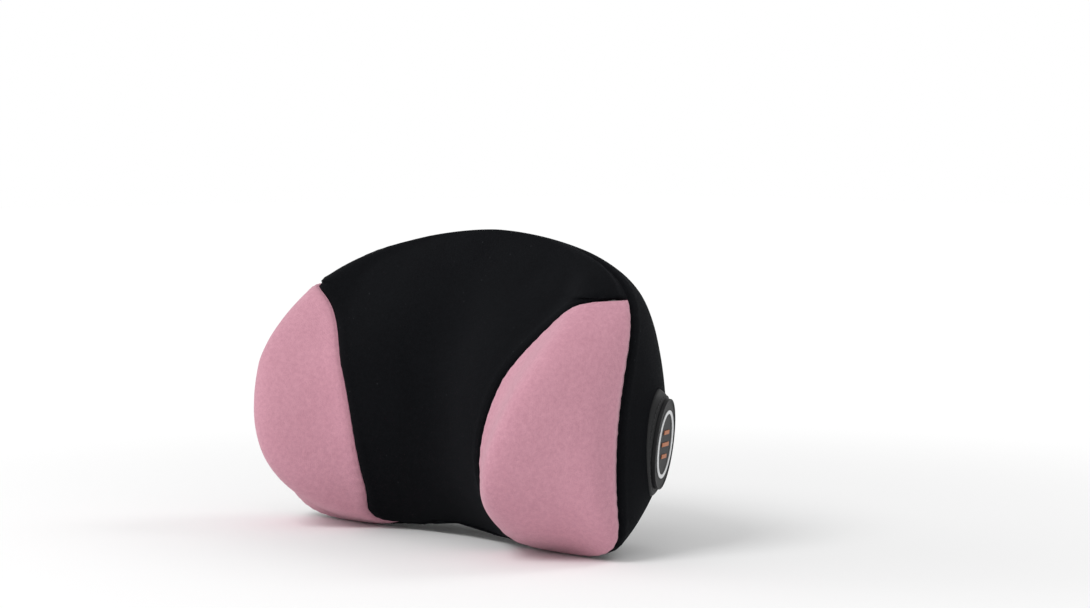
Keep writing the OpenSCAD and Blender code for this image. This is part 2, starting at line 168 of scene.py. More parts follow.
def wing_seam(q):
    """Where the seam between the black centre and a wing crosses each height, as a share s."""
    k = height(q) / HIGH
    low, high = dome((0.2 - k) / 0.23, 3, 2), dome((k - 0.2) / (TIP - 0.2), 1.9, 2)
    under = np.clip((-q - 0.978) / 0.014, 0, 1)
    low = low * (1 - under * under * (3 - 2 * under))
    return np.where(k >= TIP, 1, 1 - (1 - WAIST) * np.where(k > 0.2, high, low))


print("the widest level is", round(float(WIDEST_Z - ORIGIN_Z)), "mm from the middle")

# %% [markdown]
# ## Cutting the cover
# The real cover is cut from seven shapes: a black centre that spreads out over the top, two pink
# wings, two black sides, and an upper and a lower back with the zip between them. Each shape here
# starts as a flat grid of its own, the way cloth starts flat, and every corner of the grid is then
# carried to its place on the form. Columns crowd towards the edges, where the seams need them.


# %% Ways to lay a flat grid on the form
def crowd(u, amount=0.6):
    return u - amount * np.sin(2 * np.pi * u) / (2 * np.pi)


def rows(v, top=90.0):
    return np.sin(np.radians(-90 + (90 + top) * v))


def lay_centre(u, v):
    q = rows(v)
    return (2 * crowd(u) - 1) * wing_seam(q), q


def lay_wing(u, v):
    q = rows(v, TIP_TURN)
    edge = wing_seam(q)
    return edge + (1 - edge) * np.sin(np.pi / 2 * crowd(u)), q


def lay_side(u, v):
    return 1 - SIDE_SHARE * (1 - np.sin(np.pi / 2 * crowd(u))), rows(v)


def lay_back(u, v):
    return (1 - SIDE_SHARE) * np.sin(np.pi / 2 * (2 * crowd(u, 0.3) - 1)), rows(v)


def lay_all(u, v):
    return np.sin(np.pi / 2 * (2 * u - 1)), rows(v)


# %% A grid of cloth becomes a panel
def to_object(name, mesh, smooth=True):
    data = bpy.data.meshes.new(name)
    mesh.to_mesh(data)
    mesh.free()
    made = bpy.data.objects.new(name, data)
    bpy.context.scene.collection.objects.link(made)
    for face in data.polygons:
        face.use_smooth = smooth
    return made


def grid_on_form(lay, columns, lines, front, mirror=False, inward=0.0):
    mesh = bmesh.new()
    bmesh.ops.create_grid(mesh, x_segments=columns, y_segments=lines, size=0.5)
    flat = np.array([corner.co for corner in mesh.verts]) + 0.5
    s, q = lay(flat[:, 0], flat[:, 1])
    for corner, place in zip(mesh.verts, skin(-s if mirror else s, q, front, inward)):
        corner.co = place
    bmesh.ops.remove_doubles(mesh, verts=mesh.verts, dist=2e-6)
    bmesh.ops.dissolve_degenerate(mesh, edges=mesh.edges, dist=1e-6)
    face_out(mesh)
    return mesh


def face_out(mesh):
    """Turns the faces away from the pillow's core."""
    mesh.normal_update()
    core = Vector((0, CORE_Y / 1000, 0))
    outward = sum((f.calc_center_median() - core).dot(f.normal) * f.calc_area()
                  for f in mesh.faces)
    if outward < 0:
        bmesh.ops.reverse_faces(mesh, faces=mesh.faces)
        mesh.normal_update()


# %% [markdown]
# ## How the stuffed cover swells
# Cloth over foam is pushed out between the seams and held in along them. A formula can't guess
# that, but the Cloth simulation can: a closed copy of the pillow, a little smaller, is remeshed
# evenly, its seams are pinned, and a light pressure fills it for twenty frames. Only the way each
# point moved is kept, and no point may move more than a few millimetres.

# %% Where the seams run
seam_lines = []
steps = np.linspace(0, 1, 700)
for side in (-1, 1):
    wing_q = rows(steps, TIP_TURN)
    seam_lines.append(skin(side * wing_seam(wing_q), wing_q, True))
    seam_lines.append(skin(np.full(700, side * 1.0), rows(steps), True))
    seam_lines.append(skin(np.full(700, side * (1 - SIDE_SHARE)), rows(steps), False))
seam_points = KDTree(sum(len(line) for line in seam_lines))
seam_run = []
for line in seam_lines:
    run = np.concatenate([[0], np.cumsum(np.linalg.norm(np.diff(line, axis=0), axis=1))])
    for place, along in zip(line, run):
        seam_points.insert(place, len(seam_run))
        seam_run.append(along)
    print("a seam of", round(1000 * run[-1]), "mm")
seam_points.balance()

# %% The closed form, which gives each point its outward direction
def closed_form(columns, lines, inward=0.0):
    form = grid_on_form(lay_all, columns, lines, True, inward=inward)
    behind = grid_on_form(lay_all, columns, lines, False, inward=inward)
    data = bpy.data.meshes.new("behind")
    behind.to_mesh(data)
    behind.free()
    form.from_mesh(data)
    bpy.data.meshes.remove(data)
    bmesh.ops.remove_doubles(form, verts=form.verts, dist=1e-5)
    bmesh.ops.recalc_face_normals(form, faces=form.faces)
    face_out(form)
    return form


whole = closed_form(90, 110)
outward_at = KDTree(len(whole.verts))
outward = []
for corner in whole.verts:
    outward_at.insert(corner.co, len(outward))
    outward.append(corner.normal.copy())
outward_at.balance()
print("the closed form has", len(whole.faces), "faces")


def out_from(place):
    near = outward_at.find_n(place, 5)
    return sum((outward[n] / (gap + 5e-4) for _, n, gap in near), Vector()).normalized()


# %% The simulation
SUNK, VOXEL, FRAMES, MOST = 0.0015, 0.005, 20, 0.003
swell_at, swell = None, []


def fill_with_foam(form):
    """Blows the closed form up gently and records how far each of its points moved."""
    for corner in form.verts:
        corner.co -= corner.normal * SUNK
    bag = to_object("stuffed_form", form)
    remesh = bag.modifiers.new("even", "REMESH")
    remesh.mode, remesh.voxel_size = "VOXEL", VOXEL
    bpy.context.view_layer.objects.active = bag
    bpy.ops.object.modifier_apply(modifier="even")
    start = np.array([v.co for v in bag.data.vertices])
    pins = bag.vertex_groups.new(name="seams")
    for n, place in enumerate(start):
        gap = seam_points.find(place)[2]
        flat_back = place[1] > -0.004
        pins.add([n], 1.0 if flat_back else unit(1.4 - gap / 0.010), "REPLACE")
    cloth = bag.modifiers.new("cloth", "CLOTH").settings
    cloth.quality, cloth.mass = 6, 0.2
    cloth.tension_stiffness = cloth.compression_stiffness = 12
    cloth.shear_stiffness, cloth.bending_stiffness = 4, 0.8
    cloth.use_pressure, cloth.uniform_pressure_force = True, 4
    cloth.effector_weights.gravity = 0
    cloth.vertex_group_mass = "seams"
    for number in range(1, FRAMES + 1):
        bpy.context.scene.frame_set(number)
    moved = bag.evaluated_get(bpy.context.evaluated_depsgraph_get())
    step = np.array([v.co for v in moved.data.vertices]) - start
    length = np.linalg.norm(step, axis=1, keepdims=True)
    step *= np.minimum(1, MOST / np.maximum(length, 1e-9))
    tree = KDTree(len(start))
    for n, place in enumerate(start):
        tree.insert(place, n)
    tree.balance()
    bpy.data.objects.remove(bag)
    bpy.context.scene.frame_set(1)
    print("the cover swelled by up to", round(1000 * float(length.max()), 1), "mm, kept to 3 mm")
    return tree, step


swell_at, swell = fill_with_foam(whole)


def swollen(place):
    if swell_at is None:
        return Vector()
    near = swell_at.find_n(place, 8)
    weights = [1 / (gap + 2e-3) ** 2 for _, _, gap in near]
    step = sum(w * swell[n] for w, (_, n, _) in zip(weights, near)) / sum(weights)
    return Vector(step) * unit((-place[1] - 0.006) / 0.02)


# %% [markdown]
# ## Seams
# At a seam two panels are turned in and sewn from behind, so each dives about two millimetres and
# the fold beside it stands up in a soft roll. The thread also gathers the cloth a little, which
# shows as small puckers that die out within a centimetre. All three follow from one number: how
# far a point is from its nearest seam. Over the middle of the top and of the foot the cloth is
# pulled tight, and the seams lie flat.

# %% Depths and widths of a seam, in millimetres
DIVE, DIVE_WIDE = 1.5, 1.3
SINK, SINK_WIDE = 0.55, 4.5
ROLL, ROLL_AT, ROLL_WIDE = 0.4, 5, 2.6
PUCKER, PUCKER_WIDE = 0.32, 8
EASE, FINE_EASE, EASE_FROM = 0.45, 0.16, 14
PRESS, PRESS_WIDE = 3.6, 8


# %% How a seam shapes the cloth beside it
def hump(gap, wide):
    return math.exp(-((gap / wide) ** 2))


def seam_step(place):
    _, n, gap = seam_points.find(place)
    gap, run = 1000 * gap, 1000 * seam_run[n]
    dive = -DIVE * hump(gap, DIVE_WIDE) - SINK * hump(gap, SINK_WIDE)
    roll = ROLL * hump(gap - ROLL_AT, ROLL_WIDE)
    strength = 0.5 + 0.5 * noise.noise(Vector((run / 34, 3.1, 0)))
    gathers = math.sin(run * 0.82 + 3 * noise.noise(Vector((run / 19, 0, 7.7))))
    pucker = PUCKER * strength * hump(gap, PUCKER_WIDE) * gathers
    ease = EASE * noise.noise(Vector(place) * 26) + FINE_EASE * noise.noise(Vector(place) * 75)
    aside = abs(place[0])
    on_top = unit((place[2] - 0.055) / 0.015) * unit((0.108 - aside) / 0.05)
    on_foot = unit((-0.07 - place[2]) / 0.008) * unit((0.052 - aside) / 0.02)
    pulled = (dive + roll + pucker) * (1 - max(on_top, on_foot))
    return (pulled + ease * unit(gap / EASE_FROM)) / 1000


def press_in(place):
    """How far the seams press in what lies under the cover."""
    gap = 1000 * seam_points.find(place)[2]
    return -PRESS * hump(gap, PRESS_WIDE) / 1000


def sew(mesh, step_at=seam_step):
    """Moves every corner by the swell and the seams, and keeps the flat back flat."""
    for corner in mesh.verts:
        start = corner.co.copy()
        step = step_at(start)
        if step > 0:
            step *= unit(-start.y / 0.01)
        corner.co = start + swollen(start) + out_from(start) * step


def thicken(piece, thickness):
    """Gives a sheet its thickness in millimetres, inwards from the face that is seen."""
    shell = piece.modifiers.new("thickness", "SOLIDIFY")
    shell.thickness, shell.offset, shell.use_even_offset = thickness / 1000, -1, False


CLOTH = 1.3
cover = {}


def cover_panel(name, node, lay, columns, lines, front, mirror=False, cut=None):
    mesh = grid_on_form(lay, columns, lines, front, mirror)
    sew(mesh)
    if cut:
        cut(mesh)
    piece = to_object(name, mesh)
    thicken(piece, CLOTH)
    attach(piece, "pillow")
    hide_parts(node)
    cover[name] = piece
    print(name, "has", len(piece.data.polygons), "faces")
    return piece


# %% The front and the sides
cover_panel("black_centre", "front_centre_panel", lay_centre, 130, 150, True)
cover_panel("pink_wing_right", "wing_panel_right", lay_wing, 84, 130, True)
cover_panel("pink_wing_left", "wing_panel_left", lay_wing, 84, 130, True, mirror=True)
cover_panel("black_side_right", "side_panel_right", lay_side, 84, 130, False)
cover_panel("black_side_left", "side_panel_left", lay_side, 84, 130, False,
            mirror=True)

# %% [markdown]
# ## The back and its zip opening
# The back is one cloth that has been slit for the zip, so both halves start from the same grid.
# A bisecting plane splits it at the zip, and three more cuts free the strip that the tapes fill.

# %% The back, in two halves
ZIP_Z, SLOT_HIGH, SLOT_LONG = -0.044, 0.022, 0.168


def cut_plane(mesh, point, normal, drop=False):
    parts = [*mesh.verts, *mesh.edges, *mesh.faces]
    bmesh.ops.bisect_plane(mesh, geom=parts, plane_co=point, plane_no=normal, dist=1e-6,
                           clear_inner=drop)


def open_for_zip(up):
    def cut(mesh):
        cut_plane(mesh, (0, 0, ZIP_Z), (0, 0, up), drop=True)
        cut_plane(mesh, (0, 0, ZIP_Z + up * SLOT_HIGH / 2), (0, 0, 1))
        for side in (-1, 1):
            cut_plane(mesh, (side * SLOT_LONG / 2, 0, 0), (1, 0, 0))
        strip = [f for f in mesh.faces
                 if abs(f.calc_center_median().z - ZIP_Z) < SLOT_HIGH / 2
                 and abs(f.calc_center_median().x) < SLOT_LONG / 2]
        bmesh.ops.delete(mesh, geom=strip, context="FACES")
    return cut


cover_panel("black_back_upper", "back_panel_upper", lay_back, 110, 120, False,
            cut=open_for_zip(1))
cover_panel("black_back_lower", "back_panel_lower", lay_back, 110, 120, False,
            cut=open_for_zip(-1))

# %% [markdown]
# ## What is inside
# Under the cover lies a thin white liner in two halves, and inside that the foam. Neither is seen
# from outside, but a part that comes apart has to be right inside too. They are laid on the same
# form, each drawn in by what lies over it, and pressed in by the same seams.

# %% The liner and the foam
CLEAR = 0.2
for name, node, front in (("liner_front", "inner_liner_front", True),
                          ("liner_back", "inner_liner_back", False)):
    mesh = grid_on_form(lay_all, 80, 90, front, inward=COVER + 2 * SLACK)
    sew(mesh, press_in)
    liner = to_object(name, mesh)
    thicken(liner, LINER - CLEAR)
    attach(liner, "pillow")
    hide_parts(node)

foam_in = COVER + LINER + 3 * SLACK + CLEAR
foam_mesh = closed_form(90, 100, foam_in)
sew(foam_mesh, press_in)
print("open edges left on the foam:", sum(e.is_boundary for e in foam_mesh.edges))
foam = to_object("memory_foam", foam_mesh)
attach(foam, "pillow")
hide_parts("foam_core")

# %% [markdown]
# ## Stitches
# A lockstitch shows as a row of short, plump dashes, each sunk into the cloth at its ends. One
# stitch is a small sphere drawn out long, and a row is the same stitch laid again and again along
# a line, turned to follow it.


# %% A row of stitches
def stitch_row(name, places, outwards, body, long=2.6, thick=0.42):
    """One stitch between each two places, its length and thickness in millimetres."""
    mesh = bmesh.new()
    for n in range(len(places) - 1):
        ahead = Vector(places[n + 1]) - Vector(places[n])
        up = Vector(outwards[n]).normalized()
        ahead = (ahead - up * ahead.dot(up)).normalized()
        turn = Matrix((ahead, up.cross(ahead), up)).transposed().to_4x4()
        middle = (Vector(places[n]) + Vector(places[n + 1])) / 2
        size = Matrix.Diagonal((long / 2000, thick / 1300, thick / 1600, 1))
        bmesh.ops.create_uvsphere(mesh, u_segments=8, v_segments=5, radius=1,
                                  matrix=Matrix.Translation(middle) @ turn @ size)
    row = to_object(name, mesh)
    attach(row, body)
    print(name, "has", len(places) - 1, "stitches")
    return row


# %% The stitches round the zip
ON_CLOTH, BESIDE_SLOT, END_REACH = 0.00012, 0.0022, 0.0115
threads = []
count = 50
for up in (-1, 1):
    z = ZIP_Z + up * (SLOT_HIGH / 2 + BESIDE_SLOT)
    line = [(-SLOT_LONG / 2 + SLOT_LONG * n / count, ON_CLOTH, z) for n in range(count + 1)]
    threads.append(stitch_row("zip_stitches_" + ("upper" if up > 0 else "lower"), line,
                              [(0, 1, 0)] * (count + 1), "pillow"))
for side in (-1, 1):
    x = side * (SLOT_LONG / 2 + 0.002)
    line = [(x, ON_CLOTH, ZIP_Z - END_REACH + 2 * END_REACH * n / 7) for n in range(8)]
    threads.append(stitch_row("zip_end_stitches_" + ("right" if side > 0 else "left"), line,
                              [(0, 1, 0)] * 8, "pillow"))

# %% [markdown]
# ## The zip
# A nylon zip is two woven tapes with a coil sewn along each, closed by a metal slider. The CAD
# teeth are already right in place and pitch. Moulded and cast parts never have knife edges, so
# each hard CAD piece is copied, its loose triangles are merged, and its edges are bevelled. The
# new faces carry a mark called `rub`, which the finishes use to wear them a little.


# %% Rounding the edges of a hard piece
def round_off(name, node, body, width, segments=2, sharp=35, shape=None):
    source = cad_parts[node]
    mesh = bmesh.new()
    mesh.from_mesh(source.data)
    bmesh.ops.remove_doubles(mesh, verts=mesh.verts, dist=2e-6)
    bmesh.ops.dissolve_limit(mesh, angle_limit=math.radians(1), verts=mesh.verts, edges=mesh.edges)
    rub = mesh.faces.layers.float.new("rub")
    edges = [e for e in mesh.edges
             if len(e.link_faces) == 2 and e.calc_face_angle() > math.radians(sharp)]
    made = bmesh.ops.bevel(mesh, geom=edges, offset=width / 1000, offset_type="OFFSET",
                           segments=segments, profile=0.5, affect="EDGES", material=-1,
                           clamp_overlap=True, loop_slide=True)
    for face in made["faces"]:
        face[rub] = 1.0
    if shape:
        shape(mesh)
    piece = to_object(name, mesh)
    crisp = piece.modifiers.new("flat faces stay flat", "WEIGHTED_NORMAL")
    crisp.keep_sharp = False
    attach(piece, body)
    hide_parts(node)
    print(name, "has", len(edges), "rounded edges and", len(piece.data.polygons), "faces")
    return piece


# %% The zip's pieces
plastics, metals = [], []
for half in ("upper", "lower"):
    plastics.append(round_off("teeth_row_" + half, "zip_teeth_" + half, "pillow",
                              0.25, 2))
for side in ("left", "right"):
    metals.append(round_off("end_stop_" + side, "zip_stop_" + side, "pillow", 0.35, 2))
metals.append(round_off("slider", "zip_slider", "slider", 0.22, 2))
metals.append(round_off("pull_tab", "zip_pull", "pull", 0.25, 2))

# %% The tapes, as two woven strips
TAPE, WAVE, UNDER_CAD = 0.6, 0.00007, 0.00008


def strip_uv(mesh, along, across, size):
    """Gives each corner its own place on the flat strip, in metres."""
    layer = mesh.loops.layers.uv.new("flat_strip")
    for face in mesh.faces:
        for loop in face.loops:
            n = loop.vert.index
            loop[layer].uv = (along[n] * size[0], across[n] * size[1])


def tape(name, node, up):
    low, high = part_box(node)
    mesh = bmesh.new()
    bmesh.ops.create_grid(mesh, x_segments=94, y_segments=6, size=0.5)
    mesh.verts.index_update()
    flat = np.array([corner.co for corner in mesh.verts]) + 0.5
    strip_uv(mesh, flat[:, 0], flat[:, 1], (high.x - low.x, high.z - low.z))
    for corner, (u, v, _) in zip(mesh.verts, flat):
        beside_teeth, rate = (v, 178) if up < 0 else (1 - v, 171)
        wave = WAVE * math.sin(u * rate) * beside_teeth
        corner.co = (low.x + u * (high.x - low.x), high.y - UNDER_CAD + wave,
                     low.z + v * (high.z - low.z))
    mesh.normal_update()
    if next(iter(mesh.faces)).normal.y < 0:
        bmesh.ops.reverse_faces(mesh, faces=mesh.faces)
    strip = to_object(name, mesh)
    thicken(strip, TAPE - 0.1)
    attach(strip, "pillow")
    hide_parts(node)
    return strip


woven = [tape("zip_tape_cloth_upper", "zip_tape_upper", 1),
         tape("zip_tape_cloth_lower", "zip_tape_lower", -1)]

# %% [markdown]
# ## The elastic strap
# The strap is sewn on just outside the back's seams, where it can't be seen from the front, and
# swings out to the buckle. On the left it goes round the buckle's bar, folds back and is stitched
# to itself. Each length is a flat grid carried along the strap's own line, so the ribs of the
# weave run true, and its thickness is given last.

# %% The strap's line, seen from above, in millimetres
STRAP_UP, STRAP_WIDE, STRAP_THICK, STRAP_RISE = 22, 38, 1.6, 13
BAR_X, LOOP_LONG, BAR_R = 32, 24, 1.8
LOOP_END = BAR_X + LOOP_LONG
OFF = BAR_R + 0.1 + STRAP_THICK / 2
MAIN_Y = STRAP_RISE - OFF
SEWN_PAST, SEWN_LONG = 6, 7.5
SEWN_X = (1 - SIDE_SHARE) * WIDE / 2 + SEWN_PAST
FLAT_X = SEWN_X - SEWN_LONG


def behind_at(x, z):
    q = (z - WIDEST_Z) / (HIGH - WIDEST_Z) if z > WIDEST_Z else (z - WIDEST_Z) / WIDEST_Z
    s = min(1.0, x / float(half_width(q)))
    return min(0.0, float(SEAM_Y + seam_shift(z) + back_y(np.float64(s), np.float64(z))))


def ground_at(x):
    level = STRAP_UP + ORIGIN_Z
    return max(behind_at(x, level + e * STRAP_WIDE / 2) for e in (-1, 0, 1))


def on_pillow(k):
    x = SEWN_X + (FLAT_X - SEWN_X) * k
    slope = ground_at(x + 0.5) - ground_at(x - 0.5)
    off = 0.3 + STRAP_THICK / 2 + 2.3 * k
    return np.array([x, ground_at(x)]) + off * np.array([-slope, 1]) / math.hypot(slope, 1)


def swing_out(k):
    begin = on_pillow(1)
    swing = (1 - math.cos(math.pi * k)) / 2
    return np.array([begin[0] + (LOOP_END + 2 - begin[0]) * k,
                     begin[1] + (MAIN_Y - begin[1]) * swing])


strap_line = [on_pillow(n / 6) for n in range(7)] + [swing_out(n / 6) for n in range(1, 7)]
strap_line.append(np.array([LOOP_END, MAIN_Y]))
half_turn = [np.array([BAR_X + OFF * math.cos(a), STRAP_RISE - OFF * math.sin(a)])
             for a in np.radians(90 + 180 * np.arange(25) / 24)]
FOLD, STITCHED_Y = LOOP_LONG / 2 - 2, MAIN_Y + STRAP_THICK + 0.05
fold_back = []
for k in np.arange(13) / 12:
    drop = (1 - math.cos(math.pi * k)) / 2
    top = STRAP_RISE + OFF
    fold_back.append(np.array([BAR_X + 2 + FOLD * k, top - (top - STITCHED_Y) * drop]))
fold_back.append(np.array([LOOP_END, STITCHED_Y]))
print("the strap's sewn end is at", [round(float(n), 1) for n in strap_line[0]])


# %% A strip carried along a line
def carry_strip(name, line, side, nodes, body):
    line = np.array(line) / 1000
    run = np.concatenate([[0], np.cumsum(np.linalg.norm(np.diff(line, axis=0), axis=1))])
    long, lines = run[-1], int(run[-1] / 0.0012)
    mesh = bmesh.new()
    bmesh.ops.create_grid(mesh, x_segments=lines, y_segments=10, size=0.5)
    mesh.verts.index_update()
    flat = np.array([corner.co for corner in mesh.verts]) + 0.5
    strip_uv(mesh, flat[:, 0], flat[:, 1], (long, STRAP_WIDE / 1000))
    for corner, (u, v, _) in zip(mesh.verts, flat):
        x, y = (np.interp(u * long, run, line[:, axis]) for axis in (0, 1))
        corner.co = (side * x, y, (STRAP_UP + (v - 0.5) * (STRAP_WIDE - 0.3)) / 1000)
    bmesh.ops.recalc_face_normals(mesh, faces=mesh.faces)
    strip = to_object(name, mesh)
    shell = strip.modifiers.new("thickness", "SOLIDIFY")
    shell.thickness, shell.offset = (STRAP_THICK - 0.15) / 1000, 0
    edge = strip.modifiers.new("woven edge", "BEVEL")
    edge.width, edge.segments, edge.limit_method = 0.00035, 2, "ANGLE"
    edge.angle_limit = math.radians(50)
    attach(strip, body)
    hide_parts(*nodes)
    print(name, "is", round(1000 * long), "mm long")
    return strip


# %% The three lengths of strap
whole_left = strap_line + half_turn + fold_back
woven.append(carry_strip("elastic_left", whole_left, -1, ["strap_left"], "pillow"))
right_strap = carry_strip("elastic_right", strap_line, 1, ["strap_right"], "pillow")
woven.append(right_strap)
woven.append(carry_strip("elastic_loop", [np.array([LOOP_END, MAIN_Y])] + half_turn + fold_back, 1,
                         ["strap_loop"], "plug"))

# %% Stitching that holds the strap
for side, name in ((-1, "left"), (1, "right")):
    for row, k in enumerate((0.2, 0.55)):
        foot, next_foot = on_pillow(k), on_pillow(k + 0.05)
        ahead = (next_foot - foot) / np.linalg.norm(next_foot - foot)
        lift = np.array([ahead[1], -ahead[0]]) * (STRAP_THICK / 2 - 0.05)
        x, y = (foot + lift * (1 if lift[1] > 0 else -1)) / 1000
        line = [(side * x, y, (STRAP_UP - 16.5 + 33 * n / 12) / 1000) for n in range(13)]
        threads.append(stitch_row(f"sewn_end_stitches_{name}_{row}", line, [(0, 1, 0)] * 13,
                                  "pillow"))
    body = "pillow" if side < 0 else "plug"
    for row, x in enumerate((LOOP_END - 2, LOOP_END - 6)):
        y = (STITCHED_Y + STRAP_THICK / 2 - 0.05) / 1000
        line = [(side * x / 1000, y, (STRAP_UP - 16 + 32 * n / 11) / 1000) for n in range(12)]
        threads.append(stitch_row(f"loop_stitches_{name}_{row}", line, [(0, 1, 0)] * 12,
                                  body))

# %% [markdown]
# ## The buckle
# A side-release buckle is moulded in two halves. The CAD gives both, with the two sprung arms.
# Their edges are rounded here as a mould leaves them, and each thumb pad gets the raised ribs that
# keep a thumb from slipping.

# %% The halves of the buckle and its arms
plastics.append(round_off("buckle_socket_body", "buckle_socket", "pillow", 0.7, 3))
plastics.append(round_off("buckle_plug_body", "buckle_plug", "plug", 0.5, 3))
for half, way in (("upper", 1), ("lower", -1)):
    arm = round_off("thumb_arm_" + half, "latch_arm_" + half, half + "_latch",
                    0.35, 2)
    plastics.append(arm)
    low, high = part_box("latch_arm_" + half)
    edge = high.z if way > 0 else low.z
    mesh = bmesh.new()
    for n in range(4):
        sunk = 0.0002 * (1.5 - abs(n - 1.5))
        place = (-0.0092 + 0.0019 * n, STRAP_RISE / 1000, edge - way * sunk)
        size = Matrix.Diagonal((0.0007, 0.0036, 0.0007, 1))
        bmesh.ops.create_cube(mesh, size=1, matrix=Matrix.Translation(place) @ size)
    bmesh.ops.bevel(mesh, geom=mesh.edges[:], offset=0.0002, offset_type="OFFSET", segments=2,
                    profile=0.5, affect="EDGES", material=-1, clamp_overlap=True)
    ribs = to_object("thumb_ribs_" + half, mesh)
    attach(ribs, half + "_latch")
    plastics.append(ribs)

# %% [markdown]
# ## The badge on the side
# A soft rubber badge is stitched to the right side: a thin flange that follows the cloth, a raised
# disc with a lip, and a pale ring with three bars moulded on it. The flange starts as one line of
# points spun once round, which gives even rings, and each ring is then laid on the side panel. Near
# the disc the flange rises to meet it, and its rim tucks into the cloth.

# %% Where the badge sits
BADGE_WIDE, BADGE_HIGH, DISC_WIDE, DISC_HIGH = 38, 63, 30, 53
FLANGE, DISC = 1.4, 2.0
BADGE_S, BADGE_Q, BADGE_LEAN = 0.905, 0.14, 7
STITCHED, RIM = 0.885, 0.93
badge_at = Vector(skin(BADGE_S, BADGE_Q, False))
badge_step = (Vector(skin(BADGE_S + 0.02, BADGE_Q, False))
              - Vector(skin(BADGE_S - 0.02, BADGE_Q, False)))
badge_turn = math.atan2(badge_step.x, -badge_step.y)
badge_set = (Matrix.Rotation(badge_turn, 3, "Z")
             @ Matrix.Rotation(math.radians(BADGE_LEAN), 3, "Y"))
badge_out, badge_across, badge_up = (badge_set @ Vector(way) for way in
                                     ((1, 0, 0), (0, 1, 0), (0, 0, 1)))
print("the badge is turned", round(math.degrees(badge_turn), 1), "degrees towards the back")


def on_badge(across, up, out):
    """A point on the badge from its own three measures, in millimetres."""
    return badge_at + (badge_across * across + badge_up * up + badge_out * out) / 1000


def cloth_under(across, up):
    """How far the cloth lies below the badge's plane, in millimetres."""
    start = on_badge(across, up, 30)
    hits = [side.ray_cast(start, -badge_out)[3] for side in badge_cloth]
    hits = [1000 * gap for gap in hits if gap is not None]
    return 30 - min(hits) if hits else -6.0


badge_cloth = []
for name in ("black_side_right", "black_back_upper", "black_back_lower", "pink_wing_right"):
    mesh = bmesh.new()
    mesh.from_mesh(cover[name].data)
    badge_cloth.append(BVHTree.FromBMesh(mesh))
    mesh.free()


# %% The flange
def flange_height(across, up, share):
    """How high the flange's face stands over the badge's plane, in millimetres."""
    outside = math.hypot(across / (DISC_WIDE / 2), up / (DISC_HIGH / 2))
    t = unit((outside - 1.0) / 0.2)
    t = t * t * (3 - 2 * t)
    lying = cloth_under(across, up) + 1.25
    rim = max(0.0, (share - RIM) / (1 - RIM))
    groove = 0.3 * hump(share - STITCHED, 0.03)
    return FLANGE * (1 - t) + lying * t - groove - 1.7 * rim * rim


mesh = bmesh.new()
spokes = [mesh.verts.new((n / 28, 0, 0)) for n in range(29)]
edges = [mesh.edges.new(pair) for pair in zip(spokes, spokes[1:])]
bmesh.ops.spin(mesh, geom=spokes + edges, cent=(0, 0, 0), axis=(0, 0, 1), dvec=(0, 0, 0),
               angle=2 * math.pi, steps=96, use_merge=True)
bmesh.ops.remove_doubles(mesh, verts=mesh.verts, dist=1e-5)
for corner in mesh.verts:
    share = corner.co.to_2d().length
    across, up = corner.co.x * BADGE_WIDE / 2, corner.co.y * BADGE_HIGH / 2
    corner.co = on_badge(across, up, flange_height(across, up, share))
bmesh.ops.recalc_face_normals(mesh, faces=mesh.faces)
mesh.normal_update()
if sum((f.normal.dot(badge_out) for f in mesh.faces)) < 0:
    bmesh.ops.reverse_faces(mesh, faces=mesh.faces)
flange = to_object("rubber_flange", mesh)
thicken(flange, 1.1)
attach(flange, "pillow")
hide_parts("badge_flange")
ring_line = []
for a in (2 * math.pi * n / 52 for n in range(53)):
    across, up = (STITCHED * BADGE_WIDE / 2 * math.cos(a),
                  STITCHED * BADGE_HIGH / 2 * math.sin(a))
    ring_line.append(on_badge(across, up, flange_height(across, up, STITCHED) + 0.1))
badge_thread = stitch_row("badge_stitches", ring_line, [badge_out] * 53, "pillow",
                          long=2.3, thick=0.5)

# %% The disc with its lip
mesh = bmesh.new()
bmesh.ops.create_circle(mesh, cap_ends=True, segments=96, radius=1)
bmesh.ops.scale(mesh, vec=(DISC_WIDE / 2, DISC_HIGH / 2, 1), verts=mesh.verts)
top = mesh.faces[:]
raised = bmesh.ops.extrude_face_region(mesh, geom=top)
lifted = [v for v in raised["geom"] if isinstance(v, bmesh.types.BMVert)]
bmesh.ops.translate(mesh, vec=(0, 0, DISC), verts=lifted)
cap = [f for f in raised["geom"] if isinstance(f, bmesh.types.BMFace)]
bmesh.ops.inset_region(mesh, faces=cap, thickness=1.0, depth=0.0)
bmesh.ops.inset_region(mesh, faces=cap, thickness=0.25, depth=0.0)
lip = {v for v in mesh.verts if v.co.z > DISC - 0.01} - {v for f in cap for v in f.verts}
for corner in lip:
    corner.co.z += 0.35
rims = [e for e in mesh.edges if len(e.link_faces) == 2 and e.calc_face_angle() > 0.6]
bmesh.ops.bevel(mesh, geom=rims, offset=0.3, offset_type="OFFSET", segments=3, profile=0.5,
                affect="EDGES", material=-1, clamp_overlap=True)
bmesh.ops.recalc_face_normals(mesh, faces=mesh.faces)
for corner in mesh.verts:
    corner.co = on_badge(corner.co.x, corner.co.y, corner.co.z + FLANGE)
bmesh.ops.recalc_face_normals(mesh, faces=mesh.faces)
disc = to_object("rubber_disc", mesh)
disc.modifiers.new("flat faces stay flat", "WEIGHTED_NORMAL").keep_sharp = False
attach(disc, "pillow")
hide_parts("badge_disc")
ring = round_off("pale_ring", "badge_ring", "pillow", 0.14, 2)
bars = round_off("three_bars", "badge_mark", "pillow", 0.14, 2)

# %% [markdown]
# ## Finishes
# Every finish is made from nodes, so it has no size limit. What several finishes share is built
# once as a group: the nap of a brushed knit, the weave of tape and elastic, and the rub along
# moulded edges.


